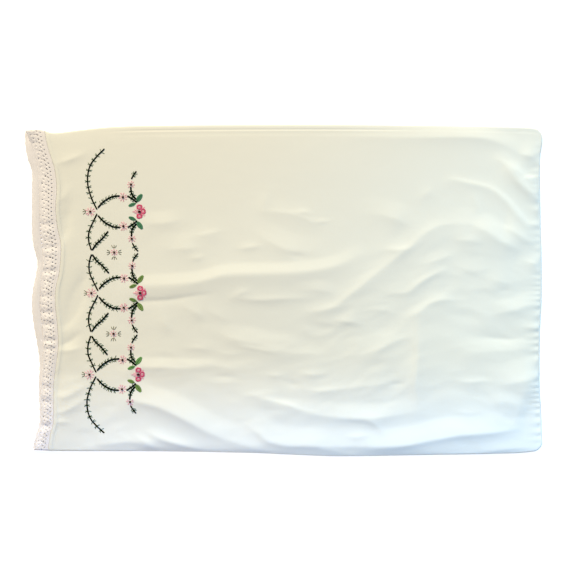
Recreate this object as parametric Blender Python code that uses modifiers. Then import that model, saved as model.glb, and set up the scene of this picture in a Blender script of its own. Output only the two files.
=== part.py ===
"""A cotton pillowcase with a lace edging, laid flat on a surface with its mouth to the left (-X).

The case is one folded and seamed cloth: a back panel flat on the surface and a front panel that
stands a little above it, joined round a small fold on three sides and open on the fourth.
The lace is a second piece, a flattened band sewn round the mouth, edge to edge with the hem.
Metres, +Z up, origin on the surface under the middle of the whole outline.
"""

import math
from collections import Counter, namedtuple

import bmesh
import bpy
from mathutils import Vector

MM = 0.001

# Driving sizes of the sewn case
CASE_WIDTH = 508 * MM  # long side to long side
END_X = 400.7 * MM  # the closed end's seam
LACE_WIDTH = 27 * MM
HEM_WIDTH = 8 * MM
CORNER_RADIUS = 12 * MM  # closed end's corners, in plan

# Cloth
CLOTH_THICKNESS = 1.0 * MM
HEM_THICKNESS = 1.6 * MM
LACE_THICKNESS = 1.0 * MM
SEAM_GAP = 0.3 * MM  # between the hem and the lace's heading

# How it lies
FOLD_RADIUS = 1.3 * MM  # of the cloth's middle round an edge
LOFT = 9.5 * MM  # height of the front panel's middle where it is smooth
LOWEST_FRONT = 7.6 * MM  # the deepest trough still leaves room for a hand
LACE_DROOP = 0.9 * MM  # the lace's outer edge hangs this much lower
SHOULDER = 12 * MM  # how fast the front rises inside an edge
LEVEL = 0.2 * MM  # an underside lower than this lies on the surface
END_SHARE = 0.3  # share of a fold's rise that is left at its ends

# Mesh steps
FOLD_STEPS = 3
EDGE_STEPS = (4 * MM, 10 * MM, 18 * MM)  # closer rows inside each closed edge
LENGTH_CELLS = 51
WIDTH_CELLS = 46
LACE_CELLS = 3
BEND_STEPS = 6  # straight runs in each fold's bent line

HALF_WIDTH = CASE_WIDTH / 2
BACK_Z = CLOTH_THICKNESS / 2
RIM_Z = BACK_Z + 2 * FOLD_RADIUS
EDGE_INSET = FOLD_RADIUS + CLOTH_THICKNESS / 2  # from the outline to where the panel ends

# How far each closed edge wanders out (+) or in (-) from its straight line, in mm
EdgePoint = namedtuple("EdgePoint", "along out")
TOP_EDGE = [
    EdgePoint(-400, -5.1),
    EdgePoint(-377, -4.3),
    EdgePoint(-361, -9.1),
    EdgePoint(-346, -8.7),
    EdgePoint(-318, -5.1),
    EdgePoint(-271, -0.3),
    EdgePoint(-209, 1.9),
    EdgePoint(25, 3.6),
    EdgePoint(181, 2.7),
    EdgePoint(369, -0.4),
    EdgePoint(401, -3.5),
]
BOTTOM_EDGE = [
    EdgePoint(-390, -6.0),
    EdgePoint(-349, -4.5),
    EdgePoint(-177, -3.7),
    EdgePoint(-46, -1.2),
    EdgePoint(25, 1.8),
    EdgePoint(85, 3.6),
    EdgePoint(198, 2.1),
    EdgePoint(362, -1.2),
    EdgePoint(401, -5.3),
]
END_EDGE = [
    EdgePoint(-244, 1.3),
    EdgePoint(-186, -1.1),
    EdgePoint(-140, -3.4),
    EdgePoint(-61, -2.6),
    EdgePoint(-15, -0.2),
    EdgePoint(48, -0.2),
    EdgePoint(110, -1.8),
    EdgePoint(204, -2.6),
    EdgePoint(227, 0.5),
    EdgePoint(244, 1.3),
]

# The mouth, in mm: across it at y, the x of the lace's outer edge and of the hem's edge, on the
# back and on the front. The front has slid towards the closed end and shows the back's lace.
MouthPoint = namedtuple("MouthPoint", "y back_lace back_hem front_lace front_hem")
MOUTH = [
    MouthPoint(-247, -390.5, -364.5, -386.5, -364.5),
    MouthPoint(-225, -385.0, -358.5, -381.0, -361.5),
    MouthPoint(-205, -379.6, -352.2, -376.0, -356.0),
    MouthPoint(-147, -380.3, -353.3, -375.6, -356.0),
    MouthPoint(-111, -379.2, -352.0, -373.2, -351.4),
    MouthPoint(-85, -382.6, -355.6, -372.5, -348.3),
    MouthPoint(-54, -388.1, -361.1, -374.0, -349.8),
    MouthPoint(-22, -391.2, -364.2, -377.1, -353.0),
    MouthPoint(1, -389.6, -362.6, -376.4, -352.5),
    MouthPoint(24, -384.9, -357.9, -374.0, -347.5),
    MouthPoint(44, -382.6, -355.6, -372.5, -345.1),
    MouthPoint(71, -389.1, -362.1, -374.0, -344.6),
    MouthPoint(98, -391.2, -364.2, -376.4, -350.0),
    MouthPoint(126, -391.2, -364.2, -377.9, -352.5),
    MouthPoint(157, -391.2, -364.2, -378.7, -351.0),
    MouthPoint(185, -391.2, -364.2, -380.3, -353.7),
    MouthPoint(204, -397.4, -368.0, -384.2, -359.2),
    MouthPoint(227, -401.3, -370.0, -392.0, -366.0),
    MouthPoint(249, -401.5, -370.5, -399.5, -370.5),
]

# The front's main folds, in mm: a ridge (+rise) or trough (-rise) along a bent line from start
# through bend to end. up and down are its reach on the +Y side and the -Y side.
Fold = namedtuple("Fold", "start bend end rise up down")
FOLDS = [
    Fold((-212, -5), (-68, 12), (107, 45), 4.0, 24, 12),  # long, from beside the embroidery
    Fold((53, -40), (138, 17), (244, 96), 3.8, 14, 14),  # rising to the upper right
    Fold((244, 96), (270, 99), (300, 92), 2.8, 13, 13),
    Fold((267, 169), (325, 150), (369, 91), 4.0, 14, 14),  # arc by the closed end
    Fold((340, 204), (368, 182), (393, 150), 2.8, 14, 13),
    Fold((295, 91), (330, 79), (365, 47), 3.4, 14, 13),
    Fold((197, -43), (222, -24), (262, -12), 3.4, 12, 12),
    Fold((194, -43), (187, -100), (197, -171), 2.0, 13, 13),
    Fold((330, -37), (356, -26), (391, -16), 3.2, 12, 12),
    Fold((279, -77), (314, -98), (372, -96), 3.0, 12, 12),
    Fold((147, -238), (231, -222), (353, -213), 5.2, 13, 11),  # strong, low at the right
    Fold((2, -178), (88, -195), (189, -186), 3.4, 12, 12),
    Fold((-226, -160), (-131, -206), (-50, -250), 5.4, 18, 12),  # falls to the long seam
    Fold((-234, -213), (-193, -233), (-145, -252), 3.2, 10, 10),
    Fold((-288, -222), (-237, -222), (-206, -248), 3.2, 12, 11),
    Fold((-224, -115), (-154, -117), (-84, -111), 3.0, 12, 12),
    Fold((-81, -85), (-25, -103), (60, -101), 3.0, 12, 12),
    Fold((88, -81), (135, -81), (185, -70), 2.4, 14, 12),
    Fold((53, -146), (119, -140), (185, -129), 2.4, 12, 12),
    Fold((-45, 85), (-6, 70), (40, 58), 2.6, 13, 12),
    Fold((-324, 133), (-318, 87), (-321, 47), 2.6, 12, 12),
    Fold((-294, 44), (-311, -2), (-324, -49), 2.6, 12, 12),
    Fold((-352, -190), (-332, -184), (-308, -168), 2.6, 11, 11),
    Fold((342, 188), (368, 146), (389, 118), -1.6, 12, 12),
    Fold((356, -127), (345, -158), (374, -190), -1.6, 12, 12),
]


def smooth_step(t):
    t = min(max(t, 0.0), 1.0)
    return t * t * (3 - 2 * t)


def read_curve(stations, values, at):
    """The value at a place between tabled stations, along a smooth curve through them."""
    if at <= stations[0]:
        return values[0]
    if at >= stations[-1]:
        return values[-1]
    k = max(i for i, station in enumerate(stations) if station <= at)
    before, after = max(k - 1, 0), min(k + 2, len(values) - 1)
    span = stations[k + 1] - stations[k]
    slope_in = (values[k + 1] - values[before]) / (stations[k + 1] - stations[before]) * span
    slope_out = (values[after] - values[k]) / (stations[after] - stations[k]) * span
    t = (at - stations[k]) / span
    t2, t3 = t * t, t * t * t
    return (
        (2 * t3 - 3 * t2 + 1) * values[k]
        + (t3 - 2 * t2 + t) * slope_in
        + (3 * t2 - 2 * t3) * values[k + 1]
        + (t3 - t2) * slope_out
    )


def column(table, name):
    return [getattr(row, name) for row in table]


def wander(edge, along):
    return read_curve(column(edge, "along"), column(edge, "out"), along / MM) * MM


def top_y(x):
    return HALF_WIDTH + wander(TOP_EDGE, x) - EDGE_INSET


def bottom_y(x):
    return -HALF_WIDTH - wander(BOTTOM_EDGE, x) + EDGE_INSET


def end_x(y):
    return END_X + wander(END_EDGE, y) - EDGE_INSET


def mouth_x(edge, y):
    return read_curve(column(MOUTH, "y"), column(MOUTH, edge), y / MM) * MM


def between_layers(back, front, y, layer):
    """The x of an edge of the mouth: layer is 0 on the back, 1 on the front, between round a fold."""
    back_x = mouth_x(back, y)
    return back_x + (mouth_x(front, y) - back_x) * layer


def lace_edge_x(y, layer):
    return between_layers("back_lace", "front_lace", y, layer)


def hem_edge_x(y, layer):
    return between_layers("back_hem", "front_hem", y, layer)


def bent_line(fold, t):
    start, bend, end = Vector(fold.start), Vector(fold.bend), Vector(fold.end)
    return start * (1 - t) ** 2 + bend * 2 * t * (1 - t) + end * t * t


def fold_height(fold, x, y):
    """Height that one fold adds at a place, all in mm."""
    place = Vector((x, y))
    nearest, along, side = None, 0.0, 0.0
    for i in range(BEND_STEPS):
        a, b = bent_line(fold, i / BEND_STEPS), bent_line(fold, (i + 1) / BEND_STEPS)
        run = b - a
        share = min(max((place - a).dot(run) / run.length_squared, 0.0), 1.0)
        off = place - a - run * share
        if nearest is None or off.length < nearest:
            nearest, along = off.length, (i + share) / BEND_STEPS
            side = (run.x * off.y - run.y * off.x) * (1 if run.x >= 0 else -1)
    reach = fold.up if side > 0 else fold.down
    taper = END_SHARE + (1 - END_SHARE) * math.sin(math.pi * along)
    return fold.rise * taper * math.exp(-((nearest / reach) ** 2))


def front_z(x, y):
    """Height of the front panel's middle above the surface."""
    inside = (top_y(x) - y, y - bottom_y(x), end_x(y) - x)
    plump = 1.0
    for distance in inside:
        plump *= 1 - math.exp(-max(distance, 0.0) / SHOULDER)
    folds = sum(fold_height(fold, x / MM, y / MM) for fold in FOLDS) * MM
    outside_hem = (hem_edge_x(y, 1) - x) / LACE_WIDTH
    droop = LACE_DROOP * smooth_step(outside_hem)
    smooth = max(LOFT + folds - droop, LOWEST_FRONT)
    return RIM_Z + (smooth - RIM_Z) * plump


def round_corner(x, y):
    """Pulls a place near the closed end's square corners onto their round outline."""
    for edge_y, side in ((top_y(x), 1), (bottom_y(x), -1)):
        across = CORNER_RADIUS - (end_x(y) - x)
        up = CORNER_RADIUS - (edge_y - y) * side
        if across > 0 and up > 0:
            pull = max(across, up) / math.hypot(across, up)
            return x - across * (1 - pull), y - up * (1 - pull) * side
    return x, y


def outward(x, y):
    """Direction out of the outline at a place on a closed edge."""
    core_x = min(x, end_x(y) - CORNER_RADIUS)
    core_y = min(max(y, bottom_y(x) + CORNER_RADIUS), top_y(x) - CORNER_RADIUS)
    return Vector((x - core_x, y - core_y, 0)).normalized()


def lay(along, across, layer, left_edge, right_edge):
    """Pattern to place: along and across run 0 to 1 over the panel, layer 0 is back and 1 front."""
    y = bottom_y(0) + (top_y(0) - bottom_y(0)) * across
    for _ in range(2):  # the edges wander with x, which depends on y
        left, right = left_edge(y, layer), right_edge(y, layer)
        x = left + (right - left) * along
        y = bottom_y(x) + (top_y(x) - bottom_y(x)) * across
    x, y = round_corner(x, y)
    if layer == 0:
        return Vector((x, y, BACK_Z))
    if layer == 1:
        return Vector((x, y, front_z(x, y)))
    turn = math.pi * layer
    place = Vector((x, y, BACK_Z + FOLD_RADIUS * (1 - math.cos(turn))))
    return place + outward(x, y) * FOLD_RADIUS * math.sin(turn)


def stations(length, cells, at_start, at_end):
    """Places from 0 to 1 for the mesh rows, with the given distances kept at the two ends."""
    start = [0.0] + [d / length for d in at_start]
    end = [1 - d / length for d in reversed(at_end)] + [1.0]
    inner = cells - len(at_start) - len(at_end)
    first, last = start[-1], end[0]
    middle = [first + (last - first) * i / inner for i in range(1, inner)]
    return start + middle + end


def pattern_panel(bm, rows_along, rows_across, layer):
    """A flat panel of the pattern, as a grid whose rows stand at the given places."""
    nx, ny = len(rows_along) - 1, len(rows_across) - 1
    made = bmesh.ops.create_grid(bm, x_segments=nx, y_segments=ny, size=0.5)["verts"]
    for vert in made:
        i, j = round((vert.co.x + 0.5) * nx), round((vert.co.y + 0.5) * ny)
        vert.co = (rows_along[i], rows_across[j], layer)
    return made


def on_closed_side(edge, closed_end):
    """True for an edge of a panel that lies on one of the sides that are joined."""
    a, b = (vert.co for vert in edge.verts)
    if a.z != b.z:
        return False
    on_side = any(a.y == side and b.y == side for side in (0.0, 1.0))
    return on_side or (closed_end and a.x == 1.0 and b.x == 1.0)


def split_along_ridges(bm):
    """Cuts each four-sided face across the way that its height changes least."""
    for face in list(bm.faces):
        a, b, c, d = face.verts
        ends = (a, c) if abs(a.co.z - c.co.z) <= abs(b.co.z - d.co.z) else (b, d)
        bmesh.utils.face_split(face, *ends)


def sewn_tube(name, rows_along, rows_across, closed_end, left_edge, right_edge):
    """Front and back panels joined round a fold, laid out, as one open surface."""
    bm = bmesh.new()
    for layer in (1, 0):
        pattern_panel(bm, rows_along, rows_across, layer)
    bmesh.ops.reverse_faces(bm, faces=[f for f in bm.faces if f.calc_center_median().z < 0.5])
    rim = [e for e in bm.edges if e.verts[0].co.z == 1 and on_closed_side(e, closed_end)]
    for step in range(1, FOLD_STEPS + 1):
        made = bmesh.ops.extrude_edge_only(bm, edges=rim)["geom"]
        for vert in (g for g in made if isinstance(g, bmesh.types.BMVert)):
            vert.co.z = 1 - step / FOLD_STEPS
        rim = [
            g
            for g in made
            if isinstance(g, bmesh.types.BMEdge) and g.verts[0].co.z == g.verts[1].co.z
        ]
    bmesh.ops.remove_doubles(bm, verts=bm.verts, dist=1e-6)
    for vert in bm.verts:
        vert.co = lay(*vert.co, left_edge, right_edge)
    split_along_ridges(bm)
    bmesh.ops.recalc_face_normals(bm, faces=bm.faces)
    mesh = bpy.data.meshes.new(name)
    bm.to_mesh(mesh)
    bm.free()
    return mesh


def square_ends(solid, laid):
    """Keeps both skins of an open end at the laid surface's own x, so that a seam's gap is even."""
    count = len(laid.vertices)
    faces_at = Counter(key for face in laid.polygons for key in face.edge_keys)
    for key, faces in faces_at.items():
        if faces == 1:
            for i in key:
                for skin in (i, i + count):
                    solid.vertices[skin].co.x = laid.vertices[i].co.x


def thicken(piece, thickness, thin=None, is_thick=None):
    """Gives a laid surface its thickness, as a closed mesh whose underside is level on the surface.

    With thin, only the places that is_thick names get the full thickness."""
    solidify = piece.modifiers.new("thickness", "SOLIDIFY")
    solidify.thickness = thickness
    solidify.offset = 0
    solidify.use_even_offset = True
    if thin:
        group = piece.vertex_groups.new(name="hem")
        thick = [v.index for v in piece.data.vertices if is_thick(v.co)]
        group.add(thick, 1.0, "REPLACE")
        solidify.vertex_group = group.name
        solidify.thickness_vertex_group = thin / thickness
    bpy.context.view_layer.update()
    graph = bpy.context.evaluated_depsgraph_get()
    solid = bpy.data.meshes.new_from_object(piece.evaluated_get(graph))
    square_ends(solid, piece.data)
    piece.modifiers.clear()
    piece.vertex_groups.clear()
    piece.data = solid
    for vert in solid.vertices:
        if vert.co.z < LEVEL:
            vert.co.z = 0.0
    solid.shade_smooth()


def cloth_material(name, color, roughness):
    material = bpy.data.materials.new(name)
    material.use_nodes = True
    shader = material.node_tree.nodes["Principled BSDF"]
    shader.inputs["Base Color"].default_value = (*color, 1)
    shader.inputs["Roughness"].default_value = roughness
    shader.inputs["Metallic"].default_value = 0
    return material


def add_piece(name, mesh, collection, material):
    piece = bpy.data.objects.new(name, mesh)
    collection.objects.link(piece)
    mesh.materials.append(material)
    return piece


def in_hem(place):
    """True for a place on the case within the hem's width of the mouth, on either panel."""
    edges = [hem_edge_x(place.y, layer) for layer in (0, 1)]
    edge = edges[1] if place.z > RIM_Z else edges[0]
    return place.x < edge + HEM_WIDTH + 0.5 * MM


def make_case(collection):
    """The cloth: both panels, their fold, the closed end and the hem, in one piece."""
    length = END_X - hem_edge_x(0, 1)
    hem_rows = (HEM_WIDTH, HEM_WIDTH + 2 * MM)
    along = stations(length, LENGTH_CELLS, hem_rows, EDGE_STEPS)
    across = stations(CASE_WIDTH, WIDTH_CELLS, EDGE_STEPS, EDGE_STEPS)
    mesh = sewn_tube(
        "case_cloth", along, across, True, hem_edge_x, lambda y, layer: end_x(y)
    )
    cotton = cloth_material("cotton", (0.88, 0.86, 0.80), 0.85)
    case = add_piece("case_cloth", mesh, collection, cotton)
    thicken(case, HEM_THICKNESS, CLOTH_THICKNESS, in_hem)


def make_lace(collection):
    """The edging: a flattened band round the mouth, its heading just clear of the hem."""
    along = stations(LACE_WIDTH, LACE_CELLS, (), ())
    across = stations(CASE_WIDTH, WIDTH_CELLS, EDGE_STEPS, EDGE_STEPS)
    mesh = sewn_tube(
        "lace_edging",
        along,
        across,
        False,
        lace_edge_x,
        lambda y, layer: hem_edge_x(y, layer) - SEAM_GAP,
    )
    cotton_lace = cloth_material("lace", (0.90, 0.86, 0.80), 0.9)
    lace = add_piece("lace_edging", mesh, collection, cotton_lace)
    thicken(lace, LACE_THICKNESS)


def main():
    for old in list(bpy.data.objects):
        bpy.data.objects.remove(old)
    pillowcase = bpy.data.collections.new("pillowcase")
    bpy.context.scene.collection.children.link(pillowcase)
    make_case(pillowcase)
    make_lace(pillowcase)


main()
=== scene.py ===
import math
import random

import bmesh
import bpy
import numpy as np
from mathutils import Matrix, Vector, noise


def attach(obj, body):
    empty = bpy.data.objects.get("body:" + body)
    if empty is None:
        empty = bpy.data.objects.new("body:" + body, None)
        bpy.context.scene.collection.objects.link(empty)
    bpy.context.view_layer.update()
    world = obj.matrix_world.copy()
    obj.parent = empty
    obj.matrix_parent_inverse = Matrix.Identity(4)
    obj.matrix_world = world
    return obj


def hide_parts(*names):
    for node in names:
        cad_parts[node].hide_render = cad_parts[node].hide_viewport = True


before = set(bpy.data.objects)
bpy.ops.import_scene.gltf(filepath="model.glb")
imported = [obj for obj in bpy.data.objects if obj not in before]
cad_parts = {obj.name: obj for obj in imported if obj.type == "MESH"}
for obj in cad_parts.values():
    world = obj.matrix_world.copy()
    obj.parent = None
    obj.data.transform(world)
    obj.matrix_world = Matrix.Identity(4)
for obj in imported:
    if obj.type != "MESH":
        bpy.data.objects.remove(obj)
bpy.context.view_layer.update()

mm = 0.001
print("frame loaded:", ", ".join(sorted(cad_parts)))


# how the cloth lies, in mm: x runs from the mouth to the closed end, y from one long side to the other
lie = {
    "width": 508,  # long side to long side
    "endX": 400.7,  # the closed end's seam
    "cornerRadius": 12,
    "foldRadius": 2.2,  # a soft roll
    "clothMiddle": 0.5,  # height of the back panel's middle
    "edgeInset": 2.7,  # from the outline to where a panel ends
    "laceWidth": 27,
    "laceDroop": 0.9,
    "seamGap": 0.3,  # between the hem's edge and the lace
}
lie["rim"] = lie["clothMiddle"] + 2 * lie["foldRadius"]

# how far each closed edge wanders out (+) or in (-)
topEdge = {
    "along": (-400, -377, -361, -346, -318, -271, -209, 25, 181, 369, 401),
    "out": (-5.1, -4.3, -9.1, -8.7, -5.1, -0.3, 1.9, 3.6, 2.7, -0.4, -3.5),
}
bottomEdge = {
    "along": (-390, -349, -177, -46, 25, 85, 198, 362, 401),
    "out": (-6.0, -4.5, -3.7, -1.2, 1.8, 3.6, 2.1, -1.2, -5.3),
}
endEdge = {
    "along": (-244, -186, -140, -61, -15, 48, 110, 204, 227, 244),
    "out": (1.3, -1.1, -3.4, -2.6, -0.2, -0.2, -1.8, -2.6, 0.5, 1.3),
}

# the mouth: at y, the x of the lace's outer edge and of the hem's edge, on the back and the front
mouthRows = [
    # y, backLace, backHem, frontLace, frontHem
    (-247, -390.5, -364.5, -386.5, -364.5),
    (-225, -385.0, -358.5, -381.0, -361.5),
    (-205, -379.6, -352.2, -376.0, -356.0),
    (-147, -380.3, -353.3, -375.6, -356.0),
    (-111, -379.2, -352.0, -373.2, -351.4),
    (-85, -382.6, -355.6, -372.5, -348.3),
    (-54, -388.1, -361.1, -374.0, -349.8),
    (-22, -391.2, -364.2, -377.1, -353.0),
    (1, -389.6, -362.6, -376.4, -352.5),
    (24, -384.9, -357.9, -374.0, -347.5),
    (44, -382.6, -355.6, -372.5, -345.1),
    (71, -389.1, -362.1, -374.0, -344.6),
    (98, -391.2, -364.2, -376.4, -350.0),
    (126, -391.2, -364.2, -377.9, -352.5),
    (157, -391.2, -364.2, -378.7, -351.0),
    (185, -391.2, -364.2, -380.3, -353.7),
    (204, -397.4, -368.0, -384.2, -359.2),
    (227, -401.3, -370.0, -392.0, -366.0),
    (249, -401.5, -370.5, -399.5, -370.5),
]
mouth = dict(zip(("y", "backLace", "backHem", "frontLace", "frontHem"), np.array(mouthRows).T))

# main folds. Each is a line of crest points (x, y, height), a trough where the height is negative,
# with how far it slopes away on its left and on its right, going along it
folds = [
    # the long fold from the middle flower, and the trough below it
    (((-214, 7, 1.6), (-150, 11, 1.8), (-118, 16, 1.8), (-94, 24, 2.0), (-40, 26, 2.0),
      (20, 28, 2.1), (80, 38, 1.4), (130, 62, 0.3)), 8, 34, "even"),
    (((-214, 2, 2.0), (-150, 7, 3.0), (-100, 19, 3.4), (-40, 22, 3.4), (20, 24, 3.2), (80, 34, 2.2),
      (130, 58, 0.6)), 50, 75),
    (((-224, -17, -1.4), (-180, -15, -1.4), (-140, -9, -0.9), (-110, -6, -0.3)), 4, 9),
    (((-74, -12, 0.4), (-40, -15, 1.3), (0, -13, 1.2), (38, -12, 0.4)), 9, 7),
    # the long slanting fold and its arms towards the closed end
    (((42, -34, 1.0), (62, -31, 1.9), (80, -25, 2.2), (100, -9, 2.3), (130, 15, 2.2),
      (158, 38, 2.0), (190, 63, 2.1), (222, 90, 2.1), (245, 101, 1.4), (290, 102, 0.6)), 10, 28),
    (((292, 101, 1.4), (312, 92, 4.0), (340, 73, 4.0), (368, 60, 0.8)), 12, 28, "even"),
    (((341, 97, 0.6), (352, 94, 2.7), (363, 86, 3.4), (375, 77, 2.7), (390, 70, 0.8)), 20, 12),
    (((262, 172, 0.7), (285, 166, 1.2), (318, 158, 1.5), (343, 140, 2.4), (364, 115, 2.5),
      (378, 99, 0.9)), 3.8, 11),
    (((332, 202, 0.5), (347, 194, 1.0), (363, 183, 0.9), (372, 177, 0.3)), 5, 9),
    (((342, 195, 1.6), (351, 184, 3.6), (360, 171, 4.3), (371, 160, 4.4), (384, 148, 3.8),
      (398, 137, 2.0)), 10, 12, "even"),
    # round the right of the middle
    (((166, -5, 0.8), (192, -3, 1.6), (208, 9, 1.9), (222, 19, 1.9), (248, 32, 0.6)), 9, 9),
    (((193, -43, 0.6), (212, -32, 1.9), (226, -21, 2.1), (244, -15, 1.9), (266, -17, 0.4)), 8, 18),
    (((322, -38, 0.9), (342, -34, 2.2), (362, -30, 2.4), (378, -23, 2.0),
      (399, -20, 1.2)), 10, 22, "even"),
    (((272, -88, 0.6), (294, -95, 1.5), (335, -94, 1.5), (366, -92, 1.5),
      (382, -88, 0.6)), 10, 34, "even"),
    (((206, -188, 1.2), (204, -140, 3.0), (208, -95, 3.0), (206, -42, 0.8)), 11, 24),
    # along the lower long side, from the closed end to the mouth
    (((126, -247, 1.3), (180, -242, 3.1), (225, -233, 4.4), (270, -225, 4.7), (320, -221, 3.8),
      (362, -214, 1.2)), 15, 12, "even"),
    (((312, -250, 0.5), (350, -246, 1.8), (392, -245, 0.8)), 12, 5),
    (((20, -241, 0.2), (100, -242, 1.9), (160, -242, 2.3), (205, -239, 1.0)), 14, 6, "even"),
    (((-50, -163, 0.6), (-24, -170, 1.8), (4, -177, 2.4), (30, -186, 1.4), (54, -192, 0.4)), 5, 17),
    (((12, -184, 0.4), (40, -192, 1.4), (66, -195, 2.3), (105, -198, 2.5), (150, -197, 2.4),
      (204, -188, 0.8)), 10.5, 15, "even"),
    (((-60, -208, 0.8), (-42, -218, 2.8), (-24, -233, 4.0), (0, -240, 4.0), (50, -242, 3.4),
      (84, -250, 1.2)), 14, 8, "even"),
    (((-232, -170, 3.6), (-192, -181, 5.6), (-150, -201, 6.0), (-116, -220, 4.6), (-80, -234, 3.2),
      (-42, -246, 2.4), (-20, -252, 0.8)), 14, 16, "even"),
    (((-208, -220, 1.0), (-184, -232, 4.0), (-156, -240, 3.8), (-128, -249, 1.0)), 9, 7),
    (((-230, -225, 1.0), (-212, -236, 3.0), (-197, -248, 1.0)), 9, 7),
    (((-304, -240, 0.5), (-270, -238, 1.9), (-238, -235, 2.3), (-208, -241, 1.3)), 15, 7),
    # across the middle of the lower half
    (((-230, -119, 2.2), (-180, -120, 2.4), (-140, -121, 1.5), (-104, -119, 0.4)), 7, 14, "even"),
    (((-98, -67, 0.6), (-76, -76, 1.9), (-40, -83, 1.8), (-8, -93, 1.6),
      (34, -99, 0.8)), 11, 18, "even"),
    (((94, -103, 0.6), (128, -98, 1.9), (158, -87, 2.0), (188, -73, 0.8)), 13, 34, "even"),
    (((28, -152, 0.4), (56, -156, 1.7), (88, -153, 1.3), (130, -148, 1.1), (170, -143, 0.5)), 8, 16),
]

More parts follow.
